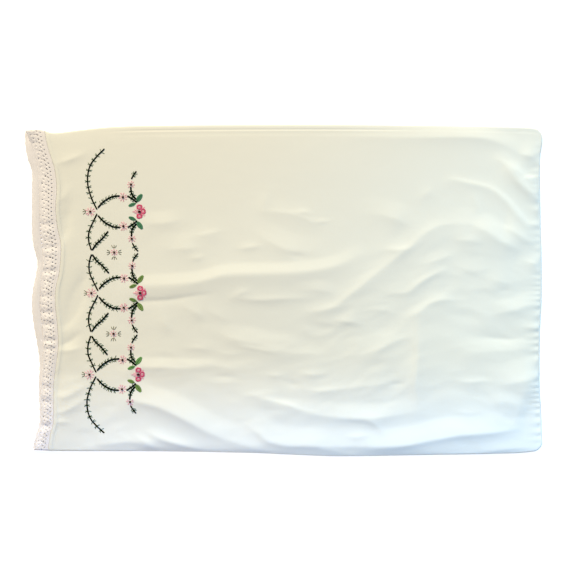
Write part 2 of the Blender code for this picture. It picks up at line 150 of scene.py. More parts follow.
# finer creases on top of them, in the same form
creases = [
    (((374, 173, 0.6), (387, 173, 1.6), (398, 173, 0.9)), 3.5, 5),
    (((212, 39, 0.4), (232, 45, 1.0), (256, 54, 0.4)), 5, 9),
    (((84, -199, 0.4), (118, -199, 1.6), (137, -204, 1.9), (148, -216, 1.4),
      (153, -227, 0.3)), 14, 5.5),
    (((98, -227, 0.5), (114, -227, 1.4), (130, -224, 0.5)), 8, 6),
    (((-152, -89, 0.3), (-130, -90, 0.9), (-110, -94, 0.3)), 7, 4.5),
    (((-64, -87, 0.5), (-40, -91, 0.9), (-12, -97, 0.3)), 3, 3.5),
    (((24, -127, 0.3), (44, -131, 1.2), (66, -129, 0.3)), 8, 6),
    (((-206, 103, 1.0), (-182, 104, 1.4), (-158, 110, 0.4)), 9, 14, "even"),
    (((-176, 64, 0.8), (-152, 64, 1.7), (-130, 67, 0.6)), 12, 16, "even"),
    (((-138, 84, 0.4), (-116, 87, 1.1), (-94, 93, 0.3)), 8, 13),
    (((-146, 49, 0.2), (-133, 50, 0.9), (-122, 53, 0.2)), 6, 6),
    (((-72, 64, 0.2), (-52, 66, 1.0), (-36, 68, 0.3)), 6, 4.5),
    (((-46, 92, 0.5), (-16, 72, 1.8), (10, 61, 2.0), (38, 59, 0.8)), 13, 18, "even"),
    (((-36, 122, 0.5), (0, 120, 1.0), (32, 112, 1.1), (54, 98, 0.4)), 8, 16),
    (((46, 106, 0.2), (58, 106, 0.7), (70, 106, 0.2)), 3, 3),
    (((18, 121, 0.2), (30, 121, 0.7), (42, 119, 0.2)), 3, 3),
    (((126, 118, 0.3), (150, 117, 1.1), (172, 110, 2.0), (190, 102, 0.8)), 13, 17, "even"),
    (((156, 64, 0.4), (176, 62, 1.6), (197, 66, 0.5)), 8, 9),
    (((78, -46, 0.3), (100, -49, 1.3), (124, -54, 0.3)), 8, 5),
    (((260, 40, 0.2), (284, 32, 0.7), (302, 30, 0.6), (316, 35, 0.2)), 10, 9),
    (((312, 22, 0.5), (336, 13, 2.0), (366, 12, 0.8)), 17, 20, "even"),
    (((374, 45, 0.8), (388, 41, 2.2), (400, 40, 1.2)), 8, 11),
    (((336, -146, 1.0), (354, -144, 3.2), (374, -140, 4.2), (397, -136, 2.8)), 17, 25, "even"),
    (((34, 0, 0.4), (58, 0, 1.1), (80, -6, 0.4)), 7, 12, "even"),
    (((322, -176, 0.4), (342, -173, 1.5), (358, -178, 1.5), (366, -194, 0.5)), 7, 30, "even"),
    (((358, -156, 0.4), (374, -158, 1.7), (390, -158, 0.6)), 18, 30, "even"),
    (((362, -194, -0.3), (376, -198, -1.8), (392, -198, -0.8)), 21, 18, "even"),
    (((274, -141, 0.3), (292, -142, 1.0), (312, -140, 0.3)), 3.5, 6),
    (((262, -187, 0.3), (284, -190, 1.4), (302, -191, 0.4)), 7, 9),
    (((330, -200, 0.4), (334, -160, 1.1), (332, -112, 0.3)), 16, 18),
    (((262, 78, 0.4), (284, 77, 1.9), (306, 75, 0.4)), 18, 17),
    (((364, 213, 0.4), (380, 208, 2.6), (395, 200, 0.8)), 15, 9),
    (((-30, 122, 0.3), (-28, 138, 0.8), (-26, 154, 0.2)), 8, 5),
    (((-80, -13, 0.3), (-66, -4, 0.9), (-55, 0, 0.3)), 5, 6),
    (((-120, -28, 0.3), (-100, -40, 0.9), (-76, -50, 0.3)), 16, 9),
    (((-192, -30, 0.3), (-184, -52, 1.0), (-172, -66, 0.3)), 8, 11),
    (((-150, -26, 0.6), (-134, -36, 1.2), (-124, -46, 0.4)), 9, 8),
    (((10, 55, -0.2), (22, 53, -0.6), (34, 52, -0.2)), 5, 4),
    (((-112, -134, -0.2), (-94, -133, -0.9), (-74, -134, -0.2)), 4, 5),
    (((-2, -138, -0.3), (12, -145, -1.2), (26, -146, -0.3)), 7, 6),
    (((160, -145, -0.3), (174, -145, -1.0), (184, -144, -0.4)), 4, 4),
    (((-60, -162, 0.3), (-38, -162, 0.9), (-16, -160, 0.3)), 5, 7),
    (((-24, -130, 0.2), (-14, -132, 0.7), (-2, -132, 0.2)), 3, 4),
    (((300, 125, 0.9), (296, 138, 0.8), (290, 150, 0.2)), 7, 7),
    (((214, 143, 0.5), (222, 150, 0.8), (230, 160, 0.2)), 8, 9),
    (((330, -4, -0.3), (342, 0, -0.8), (354, -3, -0.3)), 9, 9),
    (((314, -73, -0.9), (340, -76, -1.6), (368, -75, -0.9)), 16, 6),
    (((370, -56, 0.6), (386, -58, 1.5), (399, -61, 0.9)), 12, 8),
    (((384, 126, 0.5), (393, 124, 1.1), (400, 123, 0.7)), 4, 5),
    (((380, 103, 0.5), (390, 102, 1.2), (400, 102, 0.8)), 4, 5),
    (((120, -34, 0.2), (142, -29, 0.6), (176, -37, 0.3)), 5, 6),
    # beside the lace
    (((-350, 196, 0.4), (-331, 202, 1.2), (-308, 212, 0.4)), 7, 5),
    (((-344, 74, -0.7), (-337, 100, -2.5), (-332, 132, -0.6)), 10, 6),
    (((-346, 138, 0.4), (-340, 144, 0.9), (-334, 156, 0.5)), 5, 5),
    (((-337, -54, -1.4), (-326, -32, -4.4), (-317, -8, -4.4), (-309, 22, -1.4)), 9, 7),
    (((-348, -87, -0.5), (-332, -80, -1.6), (-316, -67, -0.5)), 6, 6),
    (((-348, -94, 0.5), (-330, -93, 1.5), (-312, -88, 0.4)), 5, 8),
    (((-351, -168, -0.8), (-352, -140, -2.0), (-353, -110, -0.6)), 6, 7),
    (((-350, -165, 0.5), (-338, -166, 2.2), (-322, -157, 1.9), (-308, -147, 0.4)), 14, 7),
    (((-354, -190, 0.5), (-338, -187, 2.0), (-322, -178, 2.0), (-306, -169, 0.5)), 8, 7),
    (((-354, -204, 0.3), (-343, -204, 1.4), (-331, -205, 0.3)), 5, 4),
    (((-310, -221, -0.3), (-299, -230, -1.7), (-290, -243, -0.6)), 6, 6),
]

relief = {
    "middle": 6.7,  # height of the front's unfolded middle
    "shoulder": {"top": 5, "bottom": 4, "end": 4},  # how fast the front rises inside each edge
    "ease": {"top": (1.3, 45), "bottom": (1.5, 55), "end": (1.5, 50)},  # and how much lower it lies there
    "lowest": (-0.6, 0.9),  # from the rim, at an edge, and what is added inside it
    "roundness": 1.1,  # how blunt a crest is
    "foldReach": 5,  # a fold is felt out to this many of its slopes
    "rampFoot": 0.012,  # softness of an even slope's foot
    "foldClear": 3.5,  # folds fade out towards an edge
    "topRoll": (((110, 236, 0.3), (200, 236, 1.1), (260, 237, 1.8), (310, 235, 2.1), (345, 223, 1.4),
                 (370, 208, 0.3)), 9, 14, "even"),
    "pressedLines": ((5.7, 0.5, 1.0), (11.5, 0.3, 1.3)),  # inside the top fold: distance, depth, width
    "pressedIn": (-290, 90),  # they show from this x, over this length
    "pressedOut": (120, 110),  # and fade from this x, over this length
    "pressedLost": 0.75,
    "pucker": 1.0,  # along the closed end's seam
    "puckerPitch": 12.5,
    "puckerReach": (6, 1.5),  # how far in they go, and how soon they start
    "puckerInUpperHalf": 0.45,
    "hemRaise": 0.35,
    "hemWidth": 5.6,
    "hemStep": (0.8, 0.9),  # where the hem's fold starts to fall, and over what length
}

# soft unevenness between the folds. Each kind has its length along the folds and across them, the
# length of its slant, and its place in the noise
crumple = {
    "height": 0.45,
    "bend": ((-400, -150, 40, 150, 240, 300, 400), (0, 0, 6, 38, 72, 66, 30)),  # how it rises along x
    "broad": (60, 26, math.inf, 3.1),
    "slanting": (30, 15, 60, 7.7),
    "creased": (46, 19, -90, 5.3),
    "fine": (13, 9, math.inf, 1.9),
    "patches": (95, 70, math.inf, 11.3),
}

# gathers across the front's lace: y, depth, half width
gathers = [
    (102, 0.9, 5), (78, 1.0, 4), (68, 1.4, 5), (30, 1.5, 4), (-9, 1.0, 5), (-34, 1.2, 4),
    (-53, 1.3, 4), (-78, 1.4, 4), (-91, 1.2, 4), (-151, 1.2, 5), (-173, 1.1, 5), (-211, 1.5, 5),
]


def smoothStep(value, start=0, over=1):
    # 0 before the start, 1 after it and the length, and soft between
    t = np.clip((value - start) / over, 0, 1)
    return t * t * (3 - 2 * t)


def bell(offset, width=1):
    return np.exp(-((offset / width) ** 2))


def readCurve(marks, values, at):
    # a smooth curve through the values at the marks
    s, v = np.asarray(marks, float), np.asarray(values, float)
    slope = np.empty(len(v))
    slope[1:-1] = (v[2:] - v[:-2]) / (s[2:] - s[:-2])
    slope[0] = (v[1] - v[0]) / (s[1] - s[0])
    slope[-1] = (v[-1] - v[-2]) / (s[-1] - s[-2])
    at = np.clip(at, s[0], s[-1])
    k = np.clip(np.searchsorted(s, at, side="right") - 1, 0, len(s) - 2)
    span = s[k + 1] - s[k]
    t = (at - s[k]) / span
    t2, t3 = t * t, t * t * t
    start = (2 * t3 - 3 * t2 + 1) * v[k] + (t3 - 2 * t2 + t) * slope[k] * span
    return start + (3 * t2 - 2 * t3) * v[k + 1] + (t3 - t2) * slope[k + 1] * span


def wander(edge, at):
    return readCurve(edge["along"], edge["out"], at) - lie["edgeInset"]


def topY(x):
    return lie["width"] / 2 + wander(topEdge, x)


def bottomY(x):
    return -lie["width"] / 2 - wander(bottomEdge, x)


def endX(y):
    return lie["endX"] + wander(endEdge, y)


def betweenLayers(back, front, y, layer):
    backX = readCurve(mouth["y"], mouth[back], y)
    return backX + (readCurve(mouth["y"], mouth[front], y) - backX) * layer


def laceEdgeX(y, layer):
    return betweenLayers("backLace", "frontLace", y, layer)


def hemEdgeX(y, layer):
    return betweenLayers("backHem", "frontHem", y, layer)


def laceHeadX(y, layer):
    return hemEdgeX(y, layer) - lie["seamGap"]


def runAlong(x, y):
    # the distance run at each point of a line
    return np.concatenate(([0], np.cumsum(np.hypot(np.diff(x), np.diff(y)))))


def ridge(fold, x, y):
    # height that one fold adds: a blunt crest along its line, sloping away on both sides. One marked
    # "even" slopes evenly on its left, down to nothing at twice that distance
    points, onLeft, onRight, *even = fold
    points = np.array(points, float)
    chord = runAlong(points[:, 0], points[:, 1])
    at = np.linspace(0, chord[-1], 4 * len(points) - 3)
    lineX, lineY, rise = (readCurve(chord, column, at) for column in points.T)
    added = np.zeros(x.shape)
    reach = relief["foldReach"] * max(onLeft, onRight)
    close = (x > lineX.min() - reach) & (x < lineX.max() + reach)
    close &= (y > lineY.min() - reach) & (y < lineY.max() + reach)
    if not close.any():
        return added
    x, y = x[close], y[close]
    nearest, height, side = np.full(x.shape, 1e9), np.zeros(x.shape), np.zeros(x.shape)
    for i in range(len(at) - 1):
        runX, runY = lineX[i + 1] - lineX[i], lineY[i + 1] - lineY[i]
        length = math.hypot(runX, runY)
        share = np.clip(((x - lineX[i]) * runX + (y - lineY[i]) * runY) / length**2, 0, 1)
        offX, offY = x - lineX[i] - runX * share, y - lineY[i] - runY * share
        distance = np.hypot(offX, offY)
        closer = distance < nearest
        nearest = np.where(closer, distance, nearest)
        height = np.where(closer, rise[i] + (rise[i + 1] - rise[i]) * share, height)
        turn = (runX * offY - runY * offX) / (length * np.maximum(distance, 1e-6))
        side = np.where(closer, turn, side)
    slope = onRight + (onLeft - onRight) * (0.5 + 0.5 * side)
    blunt = relief["roundness"]
    away = (np.sqrt(nearest**2 + blunt**2) - blunt) / slope
    profile = np.exp(-away)
    if even:
        ramp = 1 - away / 2
        ramp = 0.5 * (ramp + np.sqrt(ramp**2 + relief["rampFoot"]))
        profile += (ramp - profile) * (0.5 + 0.5 * side)
    added[close] = height * profile
    return added


def uneven(kind, x, y):
    along, across, slant, place = crumple[kind]
    return noise.noise((x / along + y / slant, y / across, place))


def crumpled(x, y):
    # it runs with the folds, mostly in the lower half and the closed end
    rough = []
    for px, py, bend in zip(x.ravel(), y.ravel(), readCurve(*crumple["bend"], x).ravel()):
        py -= bend
        creased = 0.5 - abs(uneven("creased", px, py)) * 2.2
        patch = 0.7 + 1.1 * uneven("patches", px, py)
        small = 0.6 * uneven("slanting", px, py) + 0.7 * creased + 0.08 * uneven("fine", px, py)
        rough.append(0.8 * uneven("broad", px, py) + patch * small)
    spread = smoothStep((75 - y.ravel() + 0.22 * x.ravel()) / 170) * 0.85 + 0.15
    return (np.array(rough) * spread).reshape(x.shape) * crumple["height"]


def frontHeight(x, y):
    # height of the front panel's middle above the surface
    x, y = np.asarray(x, float), np.asarray(y, float)
    fromTop, fromBottom, fromEnd = topY(x) - y, y - bottomY(x), endX(y) - x
    plump, folded = np.ones(x.shape), np.ones(x.shape)
    height = np.full(x.shape, relief["middle"])
    for edge, distance in (("top", fromTop), ("bottom", fromBottom), ("end", fromEnd)):
        distance = np.maximum(distance, 0)
        plump = plump * (1 - np.exp(-distance / relief["shoulder"][edge]))
        folded = folded * (1 - np.exp(-distance / relief["foldClear"]))
        lower, over = relief["ease"][edge]
        height -= lower * np.exp(-distance / over)
    added = crumpled(x, y)
    for fold in (*folds, *creases, relief["topRoll"]):
        added += ridge(fold, x, y)
    beyondHem = (hemEdgeX(y, 1) - x) / lie["laceWidth"]
    height -= lie["laceDroop"] * smoothStep(beyondHem)
    before, over = relief["hemStep"]
    hem = 1 - smoothStep((x - hemEdgeX(y, 1) - relief["hemWidth"] + before) / over)
    added += relief["hemRaise"] * hem * (beyondHem < 0)
    rim = lie["rim"]
    z = rim + (height - rim) * plump + added * folded
    z = np.maximum(z, rim + relief["lowest"][0] + relief["lowest"][1] * plump)
    faded = relief["pressedLost"] * smoothStep(x, *relief["pressedOut"])
    shown = smoothStep(x, *relief["pressedIn"]) * (1 - faded)
    for distance, depth, width in relief["pressedLines"]:
        z -= depth * bell(fromTop - distance, width) * shown
    phase = 2 * math.pi * (y / relief["puckerPitch"] + 0.6 * np.sin(y / 29) + 0.45 * np.sin(y / 13))
    weakest = relief["puckerInUpperHalf"]
    strength = weakest + (1 - weakest) * smoothStep(y, 60, -120)
    reach, soon = relief["puckerReach"]
    inside = np.maximum(fromEnd, 0)
    near = np.exp(-inside / reach) * (1 - np.exp(-inside / soon))
    inEnds = smoothStep(fromTop, 0, 40) * smoothStep(fromBottom, 0, 25)
    return z + relief["pucker"] * strength * near * inEnds * np.sin(phase)


def roundCorner(x, y):
    radius = lie["cornerRadius"]
    for edgeY, side in ((topY(x), 1), (bottomY(x), -1)):
        across, up = radius - (endX(y) - x), radius - (edgeY - y) * side
        inCorner = (across > 0) & (up > 0)
        reach = np.where(inCorner, np.hypot(across, up), 1)
        pull = np.where(inCorner, np.maximum(across, up) / reach, 1)
        x = x - across * (1 - pull) * inCorner
        y = y - up * (1 - pull) * side * inCorner
    return x, y


def layOut(along, across, layer, leftEdge, rightEdge):
    # pattern to place: layer is 0 on the back, 1 on the front, and between them round a fold
    low, high = bottomY(np.zeros(1)), topY(np.zeros(1))
    y = low + (high - low) * across
    for _ in range(2):
        left, right = leftEdge(y, layer), rightEdge(y, layer)
        x = left + (right - left) * along
        y = bottomY(x) + (topY(x) - bottomY(x)) * across
    x, y = roundCorner(x, y)
    turn, radius = math.pi * layer, lie["cornerRadius"]
    inX = np.minimum(x, endX(y) - radius)
    inY = np.clip(y, bottomY(x) + radius, topY(x) - radius)
    out = np.hypot(x - inX, y - inY) + 1e-9
    bulge = lie["foldRadius"] * np.sin(turn) * ((layer > 0) & (layer < 1))
    outX, outY = (x - inX) / out * bulge, (y - inY) / out * bulge
    onFold = lie["clothMiddle"] + lie["foldRadius"] * (1 - np.cos(turn))
    z = np.where(layer == 1, frontHeight(x, y), onFold)
    return x + outX, y + outY, z


def finishPiece(name, bm, look, smooth=True):
    mesh = bpy.data.meshes.new(name)
    bm.to_mesh(mesh)
    bm.free()
    mesh.materials.append(look)
    if smooth:
        mesh.shade_smooth()
    piece = bpy.data.objects.new(name, mesh)
    bpy.context.scene.collection.objects.link(piece)
    return piece


def placeVerts(bm, places):
    for vert, place in zip(bm.verts, np.stack(places, 1)):
        vert.co = Vector(place) * mm


def thicken(piece, thickness):
    solidify = piece.modifiers.new("thickness", "SOLIDIFY")
    solidify.thickness = thickness * mm
    solidify.offset = 0
    return solidify


def stations(length, cells, atStart, atEnd):
    # rows from 0 to 1, with the given distances kept at the two ends
    start = [0.0] + [d / length for d in atStart]
    end = [1 - d / length for d in reversed(atEnd)] + [1.0]
    inner = cells - len(atStart) - len(atEnd)
    return start + list(np.linspace(start[-1], end[0], inner + 1))[1:-1] + end


def patternPanel(bm, rowsAlong, rowsAcross, layer):
    nx, ny = len(rowsAlong) - 1, len(rowsAcross) - 1
    made = bmesh.ops.create_grid(bm, x_segments=nx, y_segments=ny, size=0.5)["verts"]
    for vert in made:
        i, j = round((vert.co.x + 0.5) * nx), round((vert.co.y + 0.5) * ny)
        vert.co = (rowsAlong[i], rowsAcross[j], layer)


def joinCells(bm, rowsAlong, rowsAcross, block, border):
    # a flat panel needs few faces
    nx, ny = len(rowsAlong) - 1, len(rowsAcross) - 1
    blocks = {}
    for face in bm.faces:
        place = face.calc_center_median()
        i = int(np.searchsorted(rowsAlong, place.x)) - 1 - border
        j = int(np.searchsorted(rowsAcross, place.y)) - 1 - border
        if 0 <= i < nx - 2 * border and 0 <= j < ny - 2 * border:
            blocks.setdefault((i // block, j // block), []).append(face)
    for faces in blocks.values():
        bmesh.ops.dissolve_faces(bm, faces=faces, use_verts=True)


def onClosedSide(edge):
    a, b = (vert.co for vert in edge.verts)
    onSide = any(abs(a.y - side) < 1e-6 and abs(b.y - side) < 1e-6 for side in (0, 1))
    return onSide or (a.x > 1 - 1e-6 and b.x > 1 - 1e-6)


class Wire:
    # a socket that can be used in sums, where each operator adds its Math node
    def __init__(self, tree, socket):
        self.tree = tree
        self.socket = socket

    def made(self, kind, settings, inputs, output=0):
        # any node: settings first, then the values or links of its sockets
        node = self.tree.nodes.new(kind)
        for name, value in settings.items():
            setattr(node, name, value)
        for name, value in inputs.items():
            if isinstance(value, Wire):
                self.tree.links.new(value.socket, node.inputs[name])
            else:
                node.inputs[name].default_value = value
        return Wire(self.tree, node.outputs[output])

    def math(self, operation, first, second):
        return self.made("ShaderNodeMath", {"operation": operation}, {0: first, 1: second})

    def __add__(self, other):
        return self.math("ADD", self, other)

    def __sub__(self, other):
        return self.math("SUBTRACT", self, other)

    def __rsub__(self, other):
        return self.math("SUBTRACT", other, self)

    def __mul__(self, other):
        return self.math("MULTIPLY", self, other)

    __radd__ = __add__
    __rmul__ = __mul__

    def mixed(self, low, high):
        # from one colour to another as this value goes from 0 to 1
        values = {"Factor": self, 6: asColor(low), 7: asColor(high)}
        return self.made("ShaderNodeMix", {"data_type": "RGBA"}, values, output=2)

    def noise(self, scale, detail=2, roughness=0.5, distortion=0):
        values = {"Scale": scale, "Detail": detail, "Roughness": roughness, "Distortion": distortion}
        return self.made("ShaderNodeTexNoise", {}, {"Vector": self, **values})

    def bands(self, direction, scale):
        # even ridges across one direction
        settings = {"wave_type": "BANDS", "bands_direction": direction, "wave_profile": "SIN"}
        values = {"Vector": self, "Scale": scale, "Detail": 0}
        return self.made("ShaderNodeTexWave", settings, values, output=1)


def bandScale(pitch):
    # the scale that puts ridges this pitch in metres apart
    return 2 * math.pi / (20 * pitch)


def asColor(value):
    return value if isinstance(value, Wire) else (*value, 1)


def newLook(name, fixed):
    # a material with a Principled shader, whose even values are set on its own sockets
    look = bpy.data.materials.new(name)
    look.use_nodes = True
    shader = look.node_tree.nodes["Principled BSDF"]
    for socket, value in fixed.items():
        shader.inputs[socket].default_value = value
    return look, shader, look.node_tree


def coordinates(tree, output="Object", scale=(1, 1, 1)):
    place = Wire(tree, None).made("ShaderNodeTexCoord", {}, {}, output=output)
    return place.made("ShaderNodeMapping", {}, {"Vector": place, "Scale": scale})


def feed(tree, shader, links):
    for name, wire in links.items():
        tree.links.new(wire.socket, shader.inputs[name])


def bumped(height, strength, distance, under=None):
    inputs = {"Height": height, "Strength": strength, "Distance": distance}
    if under:
        inputs["Normal"] = under
    return height.made("ShaderNodeBump", {}, inputs)


cotton = {
    "warm": (0.85, 0.835, 0.785),
    "cool": (0.83, 0.835, 0.81),
    "threadPitch": 0.55 * mm,
    "weaveDepth": 0.05 * mm,
    "rumpleDepth": 0.5 * mm,
    "finish": {"Sheen Weight": 0.25, "Sheen Roughness": 0.45, "IOR": 1.4},
}


def cottonLook():
    look, shader, tree = newLook("cottonPercale", cotton["finish"])
    place = coordinates(tree)
    clouds = place.noise(5, detail=3, roughness=0.6)
    slubs = coordinates(tree, scale=(1, 6, 1)).noise(90, detail=3)
    tint = clouds * 0.8 + slubs * 0.2
    color = tint.mixed(cotton["warm"], cotton["cool"])
    warp = place.bands("X", bandScale(cotton["threadPitch"]))
    weft = place.bands("Y", bandScale(cotton["threadPitch"]))
    weave = warp * (1 - weft) + weft * (1 - warp)
    rumple = place.noise(55, detail=4, roughness=0.55, distortion=0.4)
    soft = bumped(rumple, 0.35, cotton["rumpleDepth"])
    fine = bumped(weave + slubs * 0.4, 0.5, cotton["weaveDepth"], soft)
    rough = 0.7 + slubs * 0.2
    feed(tree, shader, {"Base Color": color, "Roughness": rough, "Normal": fine})
    return look


laceFinish = {
    # the lace's two tones. Its colour runs between them in random patches, and with the crochet bands:
    # painted light on the raised bands, painted shade between them
    "shade": (0.80, 0.76, 0.80),
    "light": (0.925, 0.89, 0.945),
    "crochetPitch": 1.1 * mm,
    "crochetDepth": 0.25 * mm,
    "finish": {"Sheen Weight": 0.15, "Sheen Roughness": 0.5, "IOR": 1.4},
}


def laceLook():
    look, shader, tree = newLook("crochetCotton", laceFinish["finish"])
    place = coordinates(tree)
    band = coordinates(tree, "UV")
    pitch = laceFinish["crochetPitch"]
    across = band.bands("Y", bandScale(pitch))
    along = band.bands("X", bandScale(pitch * 1.3))
    knots = across * 0.5 + along * 0.5
    fuzz = place.noise(700, detail=3)
    clouds = place.noise(20, detail=2)
    speckle = place.noise(160, detail=2)
    # the crochet bands put painted light on the raised knots and painted shade between them; fuzz, clouds
    # and speckle are random tone
    tint = knots * 0.3 + fuzz * 0.2 + clouds * 0.25 + speckle * 0.5
    color = tint.mixed(laceFinish["shade"], laceFinish["light"])
    relieved = bumped(knots + fuzz * 0.4, 0.7, laceFinish["crochetDepth"])
    feed(tree, shader, {"Base Color": color, "Roughness": 0.75 + fuzz * 0.2, "Normal": relieved})
    return look


thread = {
    "plies": 7,
    "twist": 0.6,
    "plyDepth": 0.12 * mm,
    "patches": 60,  # how close its patches of colour are
}


def threadLook(name, dark, light, rough=0.5, gloss=0.4):
    # stranded cotton: a soft gloss, and plies that run slantwise round each stitch
    look, shader, tree = newLook(name, {"Specular IOR Level": gloss, "IOR": 1.45})
    plies = coordinates(tree, "UV", (1, thread["plies"], 1)).bands("DIAGONAL", thread["twist"])
    clouds = coordinates(tree).noise(thread["patches"], detail=2)
    # colour: random patches of tone, plus the plies, which give painted light to their crowns and painted
    # shade to the grooves between them
    color = (plies * 0.4 + clouds * 1.1 - 0.25).mixed(dark, light)
    ridges = bumped(plies, 0.6, thread["plyDepth"])
    feed(tree, shader, {"Base Color": color, "Roughness": rough + clouds * 0.25, "Normal": ridges})
    return look


case = {
    "cellsAlong": 184,
    "cellsAcross": 214,
    "foldSteps": 5,
    "backBlock": 6,  # cells joined into one face on the back, inside a border of single cells
    "backBorder": 3,
    # rows kept close to each edge, by their distance from it
    "atHem": (1.2, 3.0, 4.8, 5.2, 5.7, 6.6),
    "atEnd": (0.8, 1.7, 2.8, 4.2, 6.2, 8.8, 12.0),
    "atTop": (1.2, 2.4, 3.6, 4.8, 6.0, 7.2, 8.4, 10.0),
    "atBottom": (0.8, 1.7, 2.8, 4.2, 6.2, 8.6),
    "thickness": 0.7,
    "hemThickness": 1.2,
    "flat": (1.016, 0.770),
}


def makeCase():
    length = lie["endX"] - float(hemEdgeX(np.zeros(1), np.ones(1))[0])
    along = stations(length, case["cellsAlong"], case["atHem"], case["atEnd"])
    across = stations(lie["width"], case["cellsAcross"], case["atBottom"], case["atTop"])
    back = bmesh.new()
    patternPanel(back, along, across, 0)
    joinCells(back, along, across, case["backBlock"], case["backBorder"])
    backMesh = bpy.data.meshes.new("backPanel")
    back.to_mesh(backMesh)
    back.free()
    bm = bmesh.new()
    patternPanel(bm, along, across, 1)
    rim = [edge for edge in bm.edges if onClosedSide(edge)]
    for step in range(1, case["foldSteps"] + 1):
        made = bmesh.ops.extrude_edge_only(bm, edges=rim)["geom"]
        for vert in (g for g in made if isinstance(g, bmesh.types.BMVert)):
            vert.co.z = 1 - step / case["foldSteps"]
        rim = [g for g in made if isinstance(g, bmesh.types.BMEdge)]
        rim = [edge for edge in rim if abs(edge.verts[0].co.z - edge.verts[1].co.z) < 1e-6]
    bm.from_mesh(backMesh)
    bpy.data.meshes.remove(backMesh)
    bmesh.ops.remove_doubles(bm, verts=bm.verts, dist=1e-5)
    pattern = np.array([vert.co for vert in bm.verts])
    layer = np.round(pattern[:, 2] * case["foldSteps"]) / case["foldSteps"]
    placeVerts(bm, layOut(pattern[:, 0], pattern[:, 1], layer, hemEdgeX, lambda y, layer: endX(y)))
    bmesh.ops.recalc_face_normals(bm, faces=bm.faces)
    piece = finishPiece("caseCloth", bm, cottonLook())
    inHem = (pattern[:, 0] * length < relief["hemWidth"] + 0.1).nonzero()[0]
    hem = piece.vertex_groups.new(name="hem")
    hem.add([int(i) for i in inHem], 1, "REPLACE")
    solidify = thicken(piece, case["hemThickness"])
    solidify.vertex_group = hem.name
    solidify.thickness_vertex_group = case["thickness"] / case["hemThickness"]
    print("case cloth:", len(piece.data.polygons), "faces before its thickness")
    return piece


lace = {
    "repeats": 80,  # round the whole mouth
    "cellsAlong": 14,
    "cellsAcross": 30,
    # rows count cells out from the heading, and radii are in mm
    "holeRadius": (0.62, 0.9),
    "holeRow": 8,
    "slotRadius": (0.4, 0.6),
    "slotRow": 13,
    "roundelRow": 22,
    "roundelRadius": 3.4,
    "smallHoleRadius": (0.3, 0.5),
    "smallHoleShare": 0.6,
    "cords": (1.0, 4.6, 15.4),  # raised cords, by their distance from the heading
    "zigzag": (9.8, 1.5),  # the zigzag cord's middle and swing
    "edgeCord": 26,
    "variants": 5,
    "seed": 4,
    "ridge": 0.4,
    "scallop": 0.3,
    "drop": 3.0,  # the front's outer edge hangs lower than the hem
    "backRoll": 1.7,  # the back's plain outer edge lies in a soft roll
    "hangFrom": 0.35,  # share of the width where it starts to hang or roll
    "endFade": 22,  # it lies flat this close to the two long sides
    "thickness": 0.6,
    "flat": (1.016, 0.030),
}


def punchHole(bm, start, end, radius):
    # opens the mesh round a short line and draws the opening's edge into a round form
    start, end = Vector((*start, 0)), Vector((*end, 0))
    run = end - start

    def nearestOn(place):
        share = (place - start).dot(run) / run.length_squared if run.length else 0
        return start + run * min(max(share, 0), 1)

    inside = [vert for vert in bm.verts if (vert.co - nearestOn(vert.co)).length < 0.3]
    ring = {vert for old in inside for face in old.link_faces for vert in face.verts}
    ring -= set(inside)
    bmesh.ops.delete(bm, geom=inside, context="VERTS")
    for vert in ring:
        near = nearestOn(vert.co)
        vert.co = near + (vert.co - near).normalized() * radius


def laceRepeat(length, isOpen, hook):
    # one repeat, x along the mouth and y from the heading out, in mm; hook makes its holes uneven
    bm = bmesh.new()
    nx, ny = lace["cellsAlong"], lace["cellsAcross"]
    bmesh.ops.create_grid(bm, x_segments=nx, y_segments=ny, size=0.5)
    bmesh.ops.translate(bm, verts=bm.verts, vec=(0.5, 0.5, 0))
    bmesh.ops.scale(bm, verts=bm.verts, vec=(length, lie["laceWidth"], 1))

    def grid(i, j):
        return i * length / nx, j * lie["laceWidth"] / ny

    for i in (3, 10):
        hole, slot = grid(i, lace["holeRow"]), grid(i + 2, lace["slotRow"])
        punchHole(bm, hole, hole, hook.uniform(*lace["holeRadius"]))
        punchHole(bm, slot, grid(i + 3, lace["slotRow"] + 1), hook.uniform(*lace["slotRadius"]))
    roundel = Vector((*grid(nx // 2, lace["roundelRow"]), 0))
    if isOpen:
        punchHole(bm, roundel.xy, roundel.xy, hook.uniform(*lace["smallHoleRadius"]))
        for i in (1, nx - 1):
            for j in (lace["roundelRow"] - 4, lace["roundelRow"] + 3):
                if hook.random() < lace["smallHoleShare"]:
                    punchHole(bm, grid(i, j), grid(i, j), hook.uniform(*lace["smallHoleRadius"]))
    for vert in bm.verts:
        u, v = vert.co.x, vert.co.y
        swing = math.cos(2 * math.pi * u / length)
        rise = sum(bell(v - line, 0.6) for line in lace["cords"]) * 0.7
        middle, reach = lace["zigzag"]
        rise += 0.7 * bell(v - middle - reach * math.sin(4 * math.pi * u / length), 0.6)
        if isOpen:
            away = (vert.co.xy - roundel.xy).length
            rise += bell(away - lace["roundelRadius"], 0.8) + 0.6 * bell(away - 1.4, 0.6)
        rise += 0.6 * bell(v - lace["edgeCord"], 0.7)
        vert.co.y = v - swing * lace["scallop"] * float(smoothStep(v, 22, 5))
        vert.co.z = rise * lace["ridge"]
    mesh = bpy.data.meshes.new("laceRepeat")
    bm.to_mesh(mesh)
    bm.free()
    return mesh


def laceDrop(y, outward):
    # the front's lace hangs down towards its outer edge, and gathers across it
    drop = lace["drop"] * smoothStep(outward, lace["hangFrom"], 0.65)
    for at, depth, width in gathers:
        away = (y - at) / width
        wave = bell(away) - 0.45 * bell(np.abs(away) - 1.9)
        drop = drop + depth * wave * smoothStep(outward, 0, 0.45) * (1 - 0.5 * outward)
    return drop


